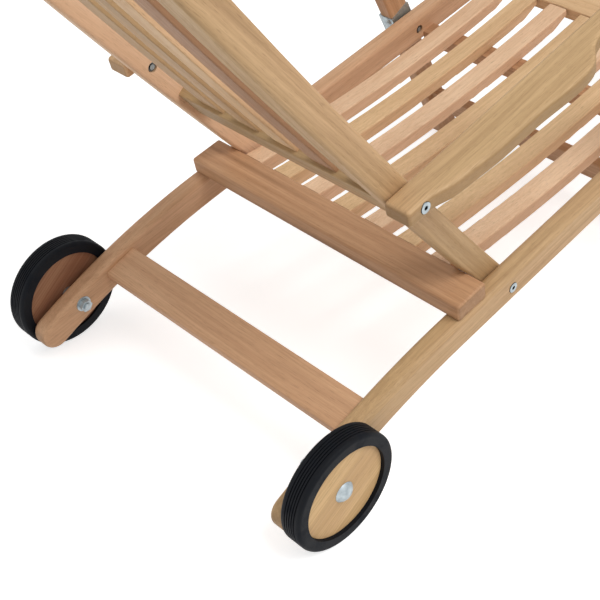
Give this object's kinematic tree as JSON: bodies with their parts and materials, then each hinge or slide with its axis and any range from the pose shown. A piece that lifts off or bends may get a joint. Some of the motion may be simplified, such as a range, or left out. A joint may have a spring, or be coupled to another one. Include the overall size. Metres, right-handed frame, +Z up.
{
  "type": "wheeled deck chair",
  "caption": "Slatted teak steamer deck chair on rear wheels, with a folding backrest, flat arms, folding front legs and a lift-up leg rest.",
  "frame": {"origin": "on the ground, in the middle of the chair's length and width", "axes": "+Z up, -Y is the way the sitter faces, +X is the sitter's left"},
  "size_m": [0.6056, 1.6794, 0.7962],
  "materials": {
    "teak": "smooth, unvarnished",
    "teak_reddish": "smooth, unvarnished",
    "tyre_rubber": "matt, grooved tread",
    "zinc": "zinc plated, satin"
  },
  "bodies": {
    "frame": {"rear_stretcher": "teak_reddish", "back_bar": "teak_reddish", "seat_bearer": "teak_reddish", "rail_left": "teak", "rail_right": "teak", "seat_front_board": "teak", "seat_slat_1": "teak", "seat_slat_2": "teak", "seat_slat_3": "teak", "seat_slat_4": "teak", "seat_slat_5": "teak", "seat_slat_6": "teak", "seat_slat_7": "teak", "axle_bolts": "zinc", "axle_washers": "zinc", "axle_nuts": "zinc", "back_pivot_bolts": "zinc", "leg_pivot_bolts": "zinc", "leg_rest_pivot_bolts": "zinc"},
    "wheel_left": {"wheel_disc_left": "teak", "tyre_left": "tyre_rubber"},
    "wheel_right": {"wheel_disc_right": "teak", "tyre_right": "tyre_rubber"},
    "backrest": {"stile_left": "teak", "stile_right": "teak", "back_lower_rail": "teak", "back_top_rail": "teak", "back_slat_1": "teak", "back_slat_2": "teak", "back_slat_3": "teak", "back_slat_4": "teak", "back_slat_5": "teak", "arm_pivot_bolts": "zinc"},
    "arm_left": {"arm_left": "teak", "arm_insert_left": "zinc"},
    "arm_right": {"arm_right": "teak", "arm_insert_right": "zinc"},
    "front_legs": {"leg_post_left": "teak_reddish", "leg_post_right": "teak_reddish", "leg_stretcher": "teak_reddish", "leg_straps": "zinc", "strap_bolts": "zinc", "arm_front_bolts": "zinc"},
    "leg_rest": {"leg_rest_rail_left": "teak", "leg_rest_rail_right": "teak", "leg_rest_end_board": "teak", "leg_rest_slat_1": "teak", "leg_rest_slat_2": "teak", "leg_rest_slat_3": "teak", "leg_rest_slat_4": "teak", "leg_rest_slat_5": "teak", "leg_rest_slat_6": "teak", "leg_rest_slat_7": "teak", "leg_rest_bearer_rear": "teak_reddish", "leg_rest_bearer_front": "teak_reddish", "foot_pivot_bolts": "zinc"},
    "leg_rest_feet": {"foot_leg_left": "teak", "foot_leg_right": "teak", "foot_bar": "teak"}
  },
  "joints": [
    {"name": "wheel_spin_left", "type": "hinge", "parent": "frame", "child": "wheel_left", "pos_m": [0.2835, 0.66657, 0.085], "axis": [1, 0, 0], "continuous": true},
    {"name": "wheel_spin_right", "type": "hinge", "parent": "frame", "child": "wheel_right", "pos_m": [-0.2835, 0.66657, 0.085], "axis": [1, 0, 0], "continuous": true},
    {"name": "back_fold", "type": "hinge", "parent": "frame", "child": "backrest", "pos_m": [0, 0.30543, 0.19032], "axis": [1, 0, 0], "range_deg": [0, 70]},
    {"name": "arm_fold_left", "type": "hinge", "parent": "backrest", "child": "arm_left", "pos_m": [0, 0.52211, 0.42592], "axis": [1, 0, 0], "range_deg": [-60, 0]},
    {"name": "arm_fold_right", "type": "hinge", "parent": "backrest", "child": "arm_right", "pos_m": [0, 0.52211, 0.42592], "axis": [1, 0, 0], "range_deg": [-60, 0]},
    {"name": "leg_fold", "type": "hinge", "parent": "frame", "child": "front_legs", "pos_m": [0, -0.07601, 0.273], "axis": [1, 0, 0], "range_deg": [0, 74]},
    {"name": "leg_rest_lift", "type": "hinge", "parent": "frame", "child": "leg_rest", "pos_m": [0, -0.32445, 0.32685], "axis": [-1, 0, 0], "range_deg": [0, 90]},
    {"name": "leg_rest_feet_fold", "type": "hinge", "parent": "leg_rest", "child": "leg_rest_feet", "pos_m": [0, -0.72225, 0.28503], "axis": [1, 0, 0], "range_deg": [0, 95]}
  ],
  "couplings": [
    {"joint": "arm_fold_left", "follows": "back_fold", "ratio": -0.838},
    {"joint": "arm_fold_right", "follows": "back_fold", "ratio": -0.838},
    {"joint": "leg_fold", "follows": "back_fold", "ratio": 1.042}
  ]
}
